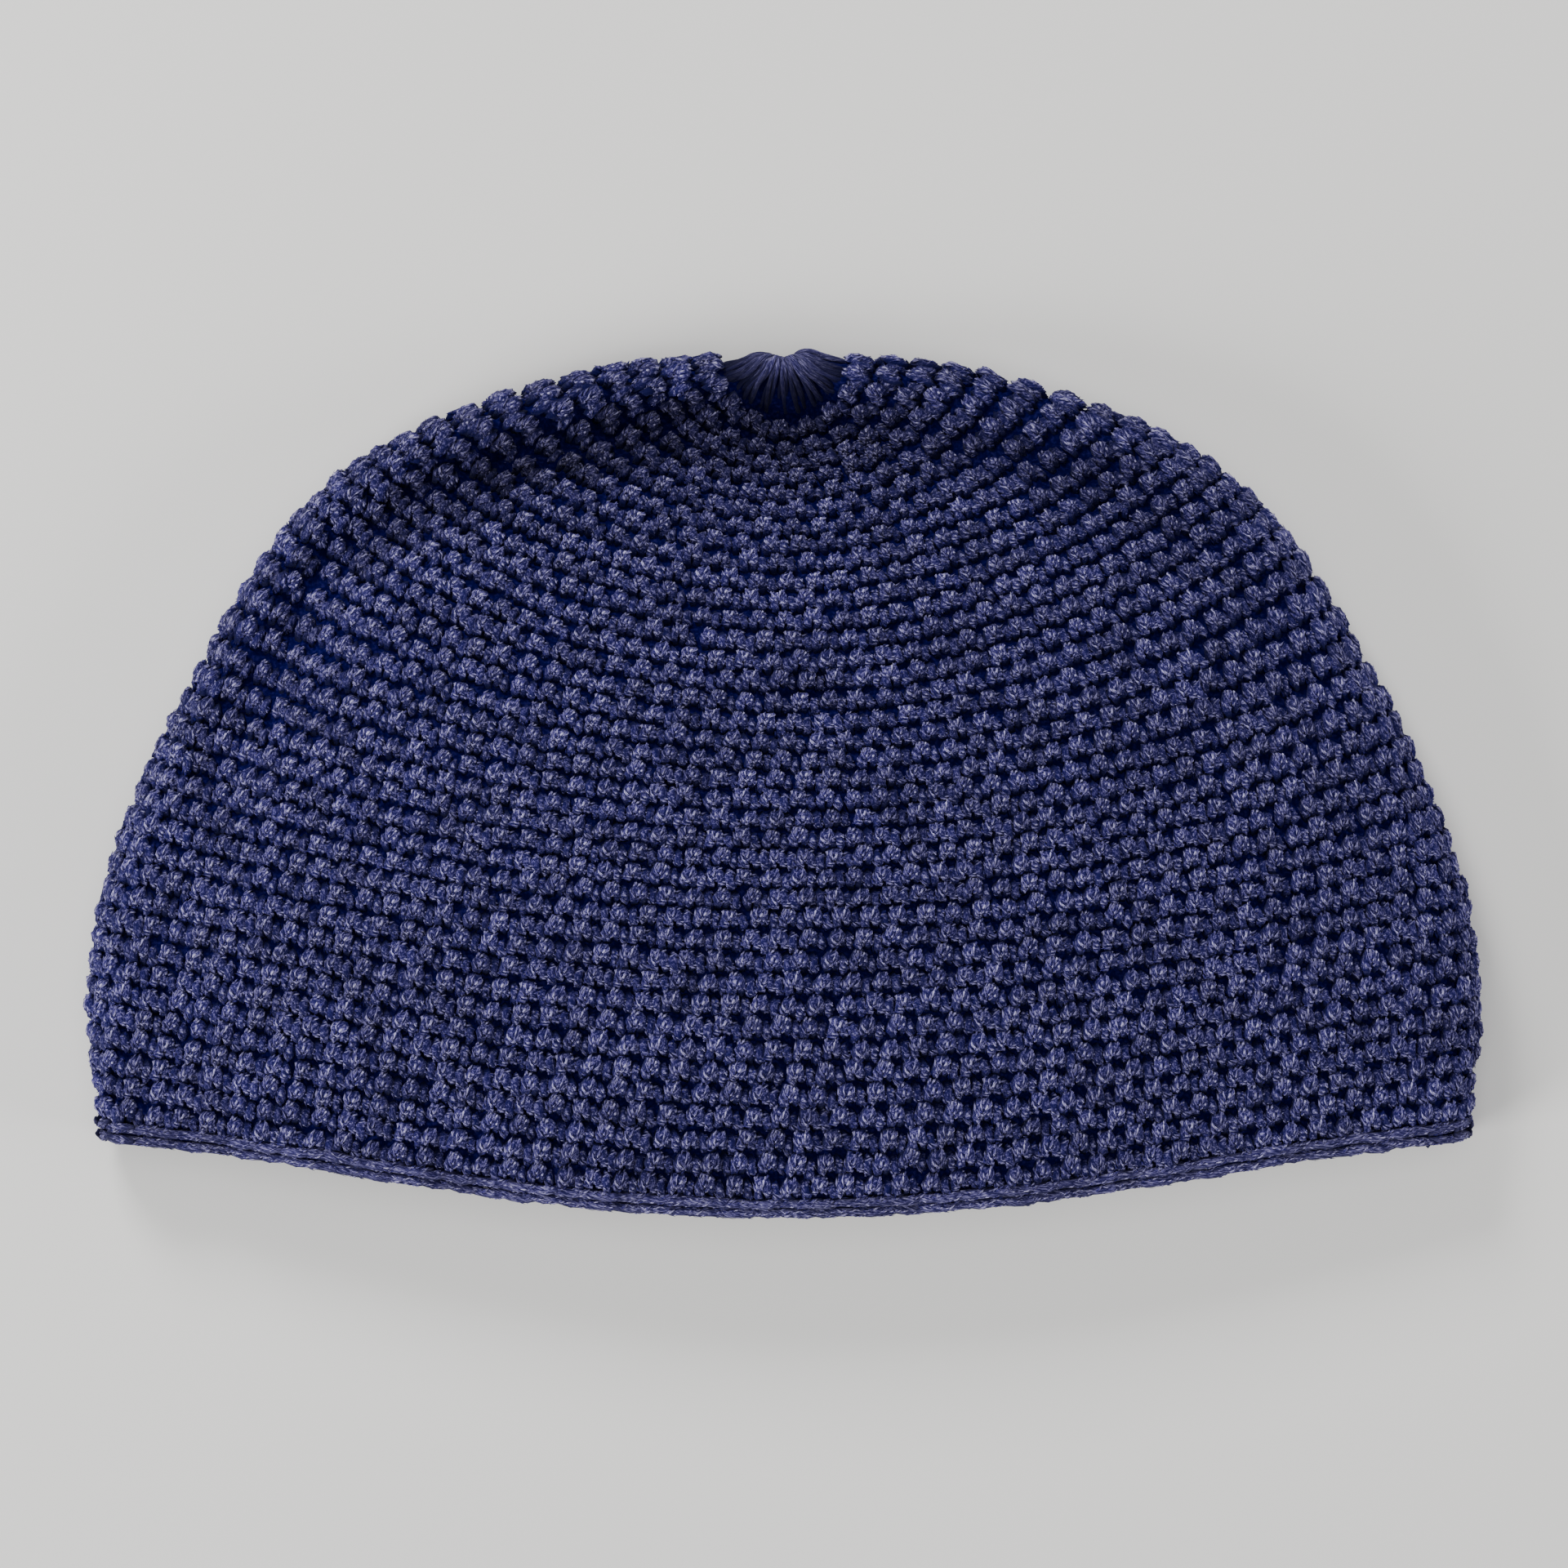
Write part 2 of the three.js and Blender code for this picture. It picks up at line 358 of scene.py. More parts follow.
def fold_distance(x, y):
    """Distance in plan from points to the nearer side fold."""
    points = np.stack([np.abs(x).ravel(), y.ravel()], axis=1)
    start = FOLD_LINE[:-1]
    along = FOLD_LINE[1:] - start
    length_squared = (along ** 2).sum(axis=1)
    nearest = np.empty(len(points))
    batch = 2000
    for low in range(0, len(points), batch):
        to_point = points[low:low + batch, None, :] - start
        share = np.clip((to_point * along).sum(axis=2) / length_squared, 0, 1)
        gap = to_point - share[..., None] * along
        nearest[low:low + batch] = np.sqrt((gap ** 2).sum(axis=2).min(axis=1))
    return nearest.reshape(x.shape)


def hollow_depth(x, y, inside):
    """Depth of all the hollows and waves together at points of the front wall."""
    total = np.zeros_like(x)
    for row in WAVES:
        wave = dict(zip(WAVE_COLUMNS, row))
        along = (x - wave["x"]) / wave["half_length"]
        across = (inside - wave["inside"]) / wave["half_width"]
        total += wave["depth"] * np.exp(-along ** 4 - across ** 2)
    for row in HOLLOWS:
        hollow = dict(zip(HOLLOW_COLUMNS, row))
        turn = math.radians(hollow["turn"])
        from_x = x - hollow["x"]
        from_y = y - hollow["y"]
        along = (from_x * math.cos(turn) + from_y * math.sin(turn)) / hollow["along"]
        across = (from_y * math.cos(turn) - from_x * math.sin(turn)) / hollow["across"]
        total += hollow["depth"] * np.exp(-along ** 2 - across ** 2)
    return total


def wall_point(rounds, angles):
    """Points of the outer surface: angle 0 is the right fold, the front is from 0 to pi."""
    rounds, angles = np.broadcast_arrays(np.asarray(rounds, float), np.asarray(angles, float))
    front = np.sin(angles) >= 0
    across = np.cos(angles)
    reach = column_at(rounds, "reach")
    setback = np.where(front, 0, BACK_SETBACK * rounds / LAST_SHELL_ROUND)
    middle_y = column_at(rounds, "front_y") + setback
    sag = column_at(rounds, "fold_y") - middle_y
    bend = 2 * np.arctan2(sag, reach)
    bend_radius = (reach ** 2 + sag ** 2) / (2 * sag)
    x = bend_radius * np.sin(bend * across)
    lift = column_at(rounds, "lift") * np.sin(np.pi * across ** 2)
    y = middle_y + bend_radius * (1 - np.cos(bend * across)) + lift
    inside = fold_distance(x, y)
    inward = FOLD_RADIUS - np.minimum(inside, FOLD_RADIUS)
    turn_over = np.sqrt(FOLD_RADIUS ** 2 - inward ** 2)
    fade = np.maximum(1 - across ** 2, 0) ** SWELL_POWER
    swell = column_at(rounds, "swell") * fade - hollow_depth(x, y, inside) * turn_over / FOLD_RADIUS
    z = np.where(front, FOLD_RADIUS + turn_over + swell, FOLD_RADIUS - turn_over)
    return np.stack([x, y, z], axis=-1)


def hollow_shade(points, outward):
    """How far points lie in the front wall's hollows, as a mask for painted shade: 0 on the open wall, 1 in
    the deepest.
    """
    x, y = points[:, 0], points[:, 1]
    depth = hollow_depth(x, y, fold_distance(x, y))
    fade = np.interp(y, HOLLOW_SHADE_FADE, (0, 1))
    return np.where(outward[:, 2] > 0, np.clip(depth / HOLLOW_SHADE_DEPTH, 0, 1) * fade, 0)


def unit(vectors):
    return vectors / np.linalg.norm(vectors, axis=-1, keepdims=True)


def wall_frame(rounds, angles):
    """Points with their directions along the round, towards the crown and outward."""
    round_step = 0.1
    angle_step = 0.02
    towards_crown = wall_point(rounds - round_step, angles) - wall_point(rounds + round_step, angles)
    along = wall_point(rounds, angles - angle_step) - wall_point(rounds, angles + angle_step)
    outward = unit(np.cross(along, towards_crown))
    return wall_point(rounds, angles), unit(along), unit(np.cross(outward, unit(along))), outward


def even_angles(round_number, phase):
    """Angles that space stitches evenly along one round, from the middle of the back, and their width."""
    start = -math.pi / 2
    fine = np.linspace(start, start + 2 * math.pi, LOOP_SAMPLES)
    loop = wall_point(np.full_like(fine, round_number), fine)
    lengths = np.concatenate([[0], np.cumsum(np.linalg.norm(np.diff(loop, axis=0), axis=1))])
    count = min(round(lengths[-1] / STITCH_PITCH), RIM_STITCHES)
    spots = (np.arange(count) + phase) / count % 1.0 * lengths[-1]
    return np.interp(spots, lengths, fine), lengths[-1] / count


# Meshes

def new_object(name, data):
    piece = bpy.data.objects.new(name, data)
    bpy.context.scene.collection.objects.link(piece)
    return piece


def mesh_from_arrays(name, vertices, faces, smooth=True):
    mesh = bpy.data.meshes.new(name)
    mesh.from_pydata(vertices.tolist(), [], faces)
    mesh.polygons.foreach_set("use_smooth", [smooth] * len(mesh.polygons))
    mesh.update()
    return mesh


def smooth_path(points, steps):
    """Evenly sampled curve through control rows, radius included."""
    points = np.asarray(points, float)
    padded = np.vstack([2 * points[0] - points[1], points, 2 * points[-1] - points[-2]])
    spots = np.linspace(0, len(points) - 1, steps)
    index = np.minimum(spots.astype(int), len(points) - 2)
    t = (spots - index)[:, None]
    a, b, c, d = (padded[index + shift] for shift in range(4))
    bend = 2 * a - 5 * b + 4 * c - d
    twist = 3 * (b - c) + d - a
    return b + 0.5 * t * (c - a + t * (bend + t * twist))


def strand_axes(path):
    """Directions square to a strand at each of its rows: sideways and outward."""
    ahead = unit(np.gradient(path[:, :3], axis=0))
    side = unit(np.cross(ahead, np.array([0.0, 0.0, 1.0])))
    return side, np.cross(side, ahead)


def tube(path, sides):
    """A closed tube along rows of x, y, z and radius: vertices, faces and corner uv."""
    centres = path[:, :3]
    radii = path[:, 3]
    side, top = strand_axes(path)
    turns = 2 * math.pi * np.arange(sides) / sides - math.pi / 2
    ring = np.cos(turns)[:, None, None] * side + np.sin(turns)[:, None, None] * top
    vertices = (centres + ring * radii[:, None]).transpose(1, 0, 2).reshape(-1, 3)
    lengths = np.concatenate([[0], np.cumsum(np.linalg.norm(np.diff(centres, axis=0), axis=1))])
    faces = []
    uvs = []
    for step in range(len(path) - 1):
        for turn in range(sides):
            following = (turn + 1) % sides
            low = step * sides
            high = low + sides
            faces.append((low + turn, low + following, high + following, high + turn))
            start, end = lengths[step], lengths[step + 1]
            left, right = turn / sides, (turn + 1) / sides
            uvs += [(start, left), (start, right), (end, right), (end, left)]
    last = (len(path) - 1) * sides
    faces.append(tuple(reversed(range(sides))))
    uvs += [(lengths[0], turn / sides) for turn in reversed(range(sides))]
    faces.append(tuple(range(last, last + sides)))
    uvs += [(lengths[-1], turn / sides) for turn in range(sides)]
    return vertices, faces, uvs


def yarn_mesh(name, strands):
    """One mesh of several strand tubes, with a yarn uv map and a depth for each vertex that drives painted
    shade.
    """
    vertices, faces, uvs = [], [], []
    total = 0
    for path, sides in strands:
        points, strand_faces, strand_uvs = tube(path, sides)
        vertices.append(points)
        faces += [tuple(total + corner for corner in face) for face in strand_faces]
        uvs += strand_uvs
        total += len(points)
    vertices = np.vstack(vertices)
    mesh = mesh_from_arrays(name, vertices * MM, faces)
    layer = mesh.uv_layers.new(name="yarn_uv")
    layer.data.foreach_set("uv", np.array(uvs).ravel())
    depth = mesh.attributes.new("depth", "FLOAT", "POINT")
    depth.data.foreach_set("value", vertices[:, 2])
    return mesh


def shaped_strands(strands, variants, unevenness, seed):
    """Slightly different versions of a set of strands, each strand as rows along its path."""
    draw = np.random.default_rng(seed)
    versions = []
    for _ in range(variants):
        version = []
        for rows, steps in strands:
            rows = np.array(rows)
            rows[:, :3] += draw.normal(0, unevenness, (len(rows), 3))
            rows[:, 3] *= 1 + draw.normal(0, RADIUS_UNEVENNESS * unevenness, len(rows))
            version.append(smooth_path(rows, steps))
        versions.append(version)
    return versions


def new_stock(name, meshes):
    """A collection of meshes for the laying tree to pick from."""
    collection = bpy.data.collections.new(name)
    for number, mesh in enumerate(meshes):
        collection.objects.link(bpy.data.objects.new(f"{name}_{number}", mesh))
    return collection


def strand_stock(name, versions, sides):
    meshes = []
    for version in versions:
        meshes.append(yarn_mesh(name, [(path, sides) for path in version]))
    return new_stock(name, meshes)


def fibres_over(path, count, sweep, advance, draw):
    """Short fibres wrapped over the outer side of a strand: start, two middle corners and end."""
    side, top = strand_axes(path)
    length = np.linalg.norm(np.diff(path[:, :3], axis=0), axis=1).sum()
    stations = np.array([-1.0, 0.0, 1.0])
    spots = draw.uniform(*FIBRE_SPOTS, count)[:, None] + stations * (advance / length)
    middles = draw.uniform(-FIBRE_OVERHANG, math.pi + FIBRE_OVERHANG, count)[:, None]
    turns = middles + stations * draw.normal(sweep, FIBRE_SWEEP_CHANGE, count)[:, None]
    lifts = np.tile(FIBRE_LIFTS, (count, 1))
    lifts[:, 2] += np.where(draw.random(count) < LOOSE_SHARE, LOOSE_LIFT, 0)
    rows = np.linspace(0, 1, len(path))

    def at_spots(values):
        return np.stack([np.interp(spots, rows, column) for column in values.T], axis=-1)

    outward = np.cos(turns)[..., None] * at_spots(side) + np.sin(turns)[..., None] * at_spots(top)
    points = at_spots(path[:, :3]) + (at_spots(path[:, 3:]) + lifts[..., None]) * outward
    start, middle, end = points.transpose(1, 0, 2)
    across = unit(np.cross(end - start, outward[:, 1]))
    crest = middle + FIBRE_RISE * outward[:, 1]
    half = FIBRE_HALF_WIDTH * draw.uniform(*FIBRE_WIDTH_RANGE, count)[:, None]
    return np.stack([start, crest - half * across, crest + half * across, end], axis=1)


def fibre_mesh(name, version, counts, sweep, advance, draw):
    """The fibres of one version of a stitch, each a thin closed sliver with its own shade."""
    slivers = []
    for path, count in zip(version, counts):
        slivers.append(fibres_over(path, count, sweep, advance, draw))
    slivers = np.vstack(slivers)
    faces = []
    for number in range(len(slivers)):
        start, left, right, end = (4 * number + corner for corner in range(4))
        faces += [(start, right, left), (end, left, right), (start, left, end), (start, end, right)]
    vertices = slivers.reshape(-1, 3)
    mesh = mesh_from_arrays(name, vertices * MM, faces)
    # depth below the stitch's surface, which drives the painted shade of the fibres
    depth = mesh.attributes.new("depth", "FLOAT", "POINT")
    depth.data.foreach_set("value", np.ascontiguousarray(vertices[:, 2], np.float32))
    places = np.array(FIBRE_GRAIN) + draw.uniform(0, GRAIN_SPREAD, (len(slivers), 1, 3))
    grain = mesh.attributes.new("grain", "FLOAT_VECTOR", "POINT")
    grain.data.foreach_set("vector", np.ascontiguousarray(places, np.float32).ravel())
    return mesh


def fibre_stock(name, versions, counts, sweep, advance, seed):
    """Fibres for each version of a set of strands, with counts for each strand."""
    draw = np.random.default_rng(seed)
    return new_stock(name, [fibre_mesh(name, version, counts, sweep, advance, draw) for version in versions])


# Geometry Nodes

def new_tree(name, inputs):
    """An empty geometry tree with named inputs, its group input and its group output."""
    tree = bpy.data.node_groups.new(name, "GeometryNodeTree")
    tree.interface.new_socket("Geometry", in_out="INPUT", socket_type="NodeSocketGeometry")
    for label, kind in inputs:
        tree.interface.new_socket(label, in_out="INPUT", socket_type=kind)
    tree.interface.new_socket("Geometry", in_out="OUTPUT", socket_type="NodeSocketGeometry")
    return tree, tree.nodes.new("NodeGroupInput"), tree.nodes.new("NodeGroupOutput")


def named_attribute(tree, name, kind):
    node = tree.nodes.new("GeometryNodeInputNamedAttribute")
    node.data_type = kind
    node.inputs["Name"].default_value = name
    return node.outputs["Attribute"]


def stored(tree, geometry, name, value, kind, domain):
    """Geometry with a named value kept on it."""
    node = tree.nodes.new("GeometryNodeStoreNamedAttribute")
    node.data_type, node.domain = kind, domain
    node.inputs["Name"].default_value = name
    tree.links.new(geometry, node.inputs["Geometry"])
    tree.links.new(value, node.inputs["Value"])
    return node.outputs[0]


def finish_tree(tree, geometry, given, result):
    """Makes the instances real and gives them the yarn that the tree is given."""
    real = tree.nodes.new("GeometryNodeRealizeInstances")
    dyed = tree.nodes.new("GeometryNodeSetMaterial")
    tree.links.new(geometry, real.inputs[0])
    tree.links.new(real.outputs[0], dyed.inputs["Geometry"])
    tree.links.new(given.outputs["Yarn"], dyed.inputs["Material"])
    tree.links.new(dyed.outputs[0], result.inputs[0])


def random_around(tree, given, amount, centre, offset):
    """A random number around a centre, by an amount that the tree is given."""
    add, link = tree.nodes.new, tree.links.new
    low, high = add("ShaderNodeMath"), add("ShaderNodeMath")
    low.operation, high.operation = "SUBTRACT", "ADD"
    for node in (low, high):
        node.inputs[0].default_value = centre
        link(given.outputs[amount], node.inputs[1])
    seed = add("ShaderNodeMath")
    seed.inputs[1].default_value = offset
    link(given.outputs["Seed"], seed.inputs[0])
    draw = add("FunctionNodeRandomValue")
    draw.data_type = "FLOAT"
    link(low.outputs[0], draw.inputs[2])
    link(high.outputs[0], draw.inputs[3])
    link(seed.outputs[0], draw.inputs["Seed"])
    return draw.outputs[1]


def random_vector(tree, given, amount, offset):
    vector = tree.nodes.new("ShaderNodeCombineXYZ")
    for number, socket in enumerate(vector.inputs):
        tree.links.new(random_around(tree, given, amount, 0, offset + number), socket)
    return vector.outputs[0]


def laying_tree():
    """Lays a picked set of strands on each point, turned by its directions and fitted to its size."""
    tree, given, result = new_tree("lay_strands", [
        ("Strands", "NodeSocketCollection"),
        ("Last kind", "NodeSocketInt"),
        ("Shift", "NodeSocketFloat"),
        ("Turn", "NodeSocketFloat"),
        ("Size change", "NodeSocketFloat"),
        ("Seed", "NodeSocketInt"),
        ("Yarn", "NodeSocketMaterial"),
    ])
    add, link = tree.nodes.new, tree.links.new

    moved = add("GeometryNodeSetPosition")
    link(given.outputs["Geometry"], moved.inputs["Geometry"])
    link(random_vector(tree, given, "Shift", SHIFT_DRAW), moved.inputs["Offset"])

    stock = add("GeometryNodeCollectionInfo")
    stock.inputs["Separate Children"].default_value = True
    stock.inputs["Reset Children"].default_value = True
    link(given.outputs["Strands"], stock.inputs["Collection"])

    facing = add("FunctionNodeAxesToRotation")
    facing.primary_axis, facing.secondary_axis = "Z", "X"
    link(named_attribute(tree, "outward", "FLOAT_VECTOR"), facing.inputs["Primary Axis"])
    link(named_attribute(tree, "along", "FLOAT_VECTOR"), facing.inputs["Secondary Axis"])
    wobble = add("FunctionNodeEulerToRotation")
    link(random_vector(tree, given, "Turn", TURN_DRAW), wobble.inputs[0])
    turned = add("FunctionNodeRotateRotation")
    turned.rotation_space = "LOCAL"
    link(facing.outputs[0], turned.inputs[0])
    link(wobble.outputs[0], turned.inputs[1])

    fitted = add("ShaderNodeVectorMath")
    fitted.operation = "SCALE"
    link(named_attribute(tree, "fit", "FLOAT_VECTOR"), fitted.inputs[0])
    link(random_around(tree, given, "Size change", 1, SIZE_DRAW), fitted.inputs["Scale"])

    pick = add("FunctionNodeRandomValue")
    pick.data_type = "INT"
    pick.inputs[4].default_value = 0
    link(given.outputs["Last kind"], pick.inputs[5])
    link(given.outputs["Seed"], pick.inputs["Seed"])
    lay = add("GeometryNodeInstanceOnPoints")
    lay.inputs["Pick Instance"].default_value = True
    link(moved.outputs[0], lay.inputs["Points"])
    link(stock.outputs[0], lay.inputs["Instance"])
    link(pick.outputs[2], lay.inputs["Instance Index"])
    link(turned.outputs[0], lay.inputs["Rotation"])
    link(fitted.outputs[0], lay.inputs["Scale"])

    shade = add("FunctionNodeRandomValue")
    shade.data_type = "FLOAT"
    link(given.outputs["Seed"], shade.inputs["Seed"])
    tinted = stored(tree, lay.outputs[0], "tint", shade.outputs[1], "FLOAT", "INSTANCE")
    finish_tree(tree, tinted, given, result)
    return tree


def spinning_tree():
    """Spins a round strand of yarn along each guide line, as thick as its points say."""
    tree, given, result = new_tree("spin_strands", [
        ("Sides", "NodeSocketInt"),
        ("Yarn", "NodeSocketMaterial"),
    ])
    add, link = tree.nodes.new, tree.links.new

    line = add("GeometryNodeMeshToCurve")
    link(given.outputs["Geometry"], line.inputs[0])
    place = add("GeometryNodeSplineParameter")
    measured = stored(tree, line.outputs[0], "yarn_length", place.outputs["Length"], "FLOAT", "POINT")

    outline = add("GeometryNodeCurvePrimitiveCircle")
    outline.inputs["Radius"].default_value = 1.0
    link(given.outputs["Sides"], outline.inputs["Resolution"])
    circled = stored(tree, outline.outputs["Curve"], "yarn_turn", place.outputs["Factor"], "FLOAT", "POINT")

    skin = add("GeometryNodeCurveToMesh")
    skin.inputs["Fill Caps"].default_value = True
    link(measured, skin.inputs["Curve"])
    link(circled, skin.inputs["Profile Curve"])
    link(named_attribute(tree, "thickness", "FLOAT"), skin.inputs["Scale"])
    in_millimetres = add("ShaderNodeMath")
    in_millimetres.operation = "DIVIDE"
    in_millimetres.inputs[1].default_value = MM
    link(named_attribute(tree, "yarn_length", "FLOAT"), in_millimetres.inputs[0])
    flat = add("ShaderNodeCombineXYZ")
    link(in_millimetres.outputs[0], flat.inputs[0])
    link(named_attribute(tree, "yarn_turn", "FLOAT"), flat.inputs[1])
    mapped = stored(tree, skin.outputs[0], "yarn_uv", flat.outputs[0], "FLOAT2", "CORNER")

    smooth = add("GeometryNodeSetShadeSmooth")
    link(mapped, smooth.inputs["Geometry"])
    finish_tree(tree, smooth.outputs[0], given, result)
    return tree


def run_tree(name, mesh, tree, values):
    """Puts a tree on a mesh, with its inputs by name, and keeps the result as a plain mesh."""
    piece = new_object(name, mesh)
    modifier = piece.modifiers.new(tree.name, "NODES")
    modifier.node_group = tree
    for item in tree.interface.items_tree:
        if item.in_out == "INPUT" and item.name in values:
            modifier[item.identifier] = values[item.name]
    graph = bpy.context.evaluated_depsgraph_get()
    made = bpy.data.meshes.new_from_object(piece.evaluated_get(graph), depsgraph=graph)
    piece.modifiers.remove(modifier)
    piece.data = made
    made.name = name
    press_on_floor(made)
    return piece


def press_on_floor(mesh):
    """Flattens the yarn where the cap rests on it."""
    places = np.empty(3 * len(mesh.vertices), np.float32)
    mesh.vertices.foreach_get("co", places)
    places[2::3] = np.maximum(places[2::3], 0)
    mesh.vertices.foreach_set("co", places)
    mesh.update()


def spots_mesh(name, points, along, outward, fit):
    """Points with the directions and sizes that the laying tree reads, and how much painted shade each gets
    from the hollows.
    """
    mesh = bpy.data.meshes.new(name)
    mesh.from_pydata((points * MM).tolist(), [], [])
    for label, values in (("along", along), ("outward", outward), ("fit", fit)):
        layer = mesh.attributes.new(label, "FLOAT_VECTOR", "POINT")
        layer.data.foreach_set("vector", np.ascontiguousarray(values, np.float32).ravel())
    # painted shade: how deep in the wall's hollows each spot lies, for darkening its yarn
    layer = mesh.attributes.new("hollow_shade", "FLOAT", "POINT")
    layer.data.foreach_set("value", np.ascontiguousarray(hollow_shade(points, outward), np.float32))
    return mesh


def lines_mesh(name, lines, radii, depths, tints, hollow_shades):
    """Guide lines, one after another, with the values that the spinning tree reads."""
    mesh = bpy.data.meshes.new(name)
    count, steps = lines.shape[:2]
    starts = (np.arange(count)[:, None] * steps + np.arange(steps - 1)).ravel()
    edges = np.stack([starts, starts + 1], axis=1)
    mesh.from_pydata((lines.reshape(-1, 3) * MM).tolist(), edges.tolist(), [])
    # depth and the hollow mask carry painted shade to the yarn material
    values_by_name = {"thickness": radii * MM, "depth": depths, "tint": tints, "hollow_shade": hollow_shades}
    for label, values in values_by_name.items():
        layer = mesh.attributes.new(label, "FLOAT", "POINT")
        layer.data.foreach_set("value", np.ascontiguousarray(values, np.float32).ravel())
    return mesh


# Materials

def node_material(name):
    material = bpy.data.materials.new(name)
    material.use_nodes = True
    tree = material.node_tree
    return material, tree, tree.nodes["Principled BSDF"]


def set_sockets(node, values):
    for label, value in values.items():
        node.inputs[label].default_value = value


def attribute(tree, name):
    node = tree.nodes.new("ShaderNodeAttribute")
    node.attribute_name = name
    return node.outputs


def noise(tree, place, values):
    node = tree.nodes.new("ShaderNodeTexNoise")
    set_sockets(node, values)
    tree.links.new(place, node.inputs["Vector"])
    return node.outputs["Fac"]


def mapped_range(tree, value, low, high, to_low, to_high):
    node = tree.nodes.new("ShaderNodeMapRange")
    set_sockets(node, {"From Min": low, "From Max": high, "To Min": to_low, "To Max": to_high})
    tree.links.new(value, node.inputs["Value"])
    return node.outputs[0]


def colour_ramp(tree, value, stops):
    node = tree.nodes.new("ShaderNodeValToRGB")
    elements = node.color_ramp.elements
    while len(elements) < len(stops):
        elements.new(0.5)
    for element, (position, colour) in zip(elements, stops):
        element.position = position
        element.color = (*colour, 1)
    tree.links.new(value, node.inputs["Fac"])
    return node.outputs[0]


def scaled_colour(tree, colour, level):
    node = tree.nodes.new("ShaderNodeVectorMath")
    node.operation = "SCALE"
    tree.links.new(colour, node.inputs[0])
    tree.links.new(level, node.inputs["Scale"])
    return node.outputs[0]


def hollow_shaded_colour(tree, colour):
    """A colour with painted shade, darker where the wall dips into its hollows."""
    level = mapped_range(tree, attribute(tree, "hollow_shade")["Fac"], 0, 1, 1, HOLLOW_SHADE_DIMMING)
    return scaled_colour(tree, colour, level)


def stitch_colour(tree, colour, tint):
    """A colour with painted shade in the hollows, a little lighter or darker for each stitch."""
    level = mapped_range(tree, tint, 0, 1, *TINT_RANGE)
    return hollow_shaded_colour(tree, scaled_colour(tree, colour, level))


def depth_shaded_colour(tree, colour, depth, painted_shade_depth, painted_shade_colour):
    """Painted shade: a colour that turns to a dark one as the yarn dips between and under strands."""
    node = tree.nodes.new("ShaderNodeMix")
    node.data_type = "RGBA"
    node.inputs["A"].default_value = (*painted_shade_colour, 1)
    tree.links.new(mapped_range(tree, depth, painted_shade_depth, 0, 0, 1), node.inputs["Factor"])
    tree.links.new(colour, node.inputs["B"])
    return node.outputs["Result"]


def yarn_material(name, shades, fleck_turn, fleck_fineness, painted_shade_depth, painted_shade_colour):
    """Dark blue yarn with pale flecks, partly the yarn's own and partly painted highlight, with painted
    shade where it dips and in the wall's hollows, each stitch a little different.
    """
    material, tree, shader = node_material(name)
    add, link = tree.nodes.new, tree.links.new
    uv = add("ShaderNodeUVMap")
    uv.uv_map = "yarn_uv"
    tint = attribute(tree, "tint")

    twist = add("ShaderNodeMapping")
    twist.inputs["Scale"].default_value = (1.0, YARN_GIRTH, 1.0)
    twist.inputs["Rotation"].default_value = (0, 0, math.radians(fleck_turn))
    link(uv.outputs[0], twist.inputs[0])
    stretch = add("ShaderNodeVectorMath")
    stretch.operation = "MULTIPLY"
    stretch.inputs[1].default_value = (*fleck_fineness, 1.0)
    link(twist.outputs[0], stretch.inputs[0])
    shift = add("ShaderNodeVectorMath")
    shift.operation = "MULTIPLY_ADD"
    shift.inputs[1].default_value = TINT_SHIFT
    link(tint["Vector"], shift.inputs[0])
    link(stretch.outputs[0], shift.inputs[2])
    flecks = noise(tree, shift.outputs[0], YARN_FLECKS)

    colour = colour_ramp(tree, flecks, shades)
    depth_shaded = depth_shaded_colour(tree, colour, attribute(tree, "depth")["Fac"], painted_shade_depth, painted_shade_colour)
    link(stitch_colour(tree, depth_shaded, tint["Fac"]), shader.inputs["Base Color"])
    bump = add("ShaderNodeBump")
    set_sockets(bump, YARN_BUMP)
    link(flecks, bump.inputs["Height"])
    link(bump.outputs[0], shader.inputs["Normal"])
    set_sockets(shader, YARN_SURFACE)
    return material


def fibre_material():
    """Paler fibres that stand off the yarn, streaked along their length, their paleness partly their own and
    partly painted highlight, with painted shade where they lie deep and in the wall's hollows.
    """
    material, tree, shader = node_material("pale_fibres")
    streaks = noise(tree, attribute(tree, "grain")["Vector"], FIBRE_STREAKS)
    colour = colour_ramp(tree, streaks, FIBRE_SHADES)
    depth = attribute(tree, "depth")["Fac"]
    depth_shaded = depth_shaded_colour(tree, colour, depth, FIBRE_PAINTED_SHADE_DEPTH, FIBRE_PAINTED_SHADE_COLOUR)
    tinted = stitch_colour(tree, depth_shaded, attribute(tree, "tint")["Fac"])
    tree.links.new(tinted, shader.inputs["Base Color"])
    set_sockets(shader, FIBRE_SURFACE)
    return material


def backing_material():
    """The yarn between and behind the stitches: its own navy darkened with painted shade for the gaps, and
    more painted shade in the wall's hollows.
    """
    material, tree, shader = node_material("shaded_yarn_backing")
    place = tree.nodes.new("ShaderNodeTexCoord")
    colour = colour_ramp(tree, noise(tree, place.outputs["Object"], BACKING_GRAIN), BACKING_SHADES)
    tree.links.new(hollow_shaded_colour(tree, colour), shader.inputs["Base Color"])
    set_sockets(shader, BACKING_SURFACE)
    return material


def floor_material():
    material, tree, shader = node_material("pale_floor")
    place = tree.nodes.new("ShaderNodeTexCoord")
    colour = colour_ramp(tree, noise(tree, place.outputs["Object"], FLOOR_GRAIN), FLOOR_SHADES)
    tree.links.new(colour, shader.inputs["Base Color"])
    set_sockets(shader, FLOOR_SURFACE)
    return material


# Pieces

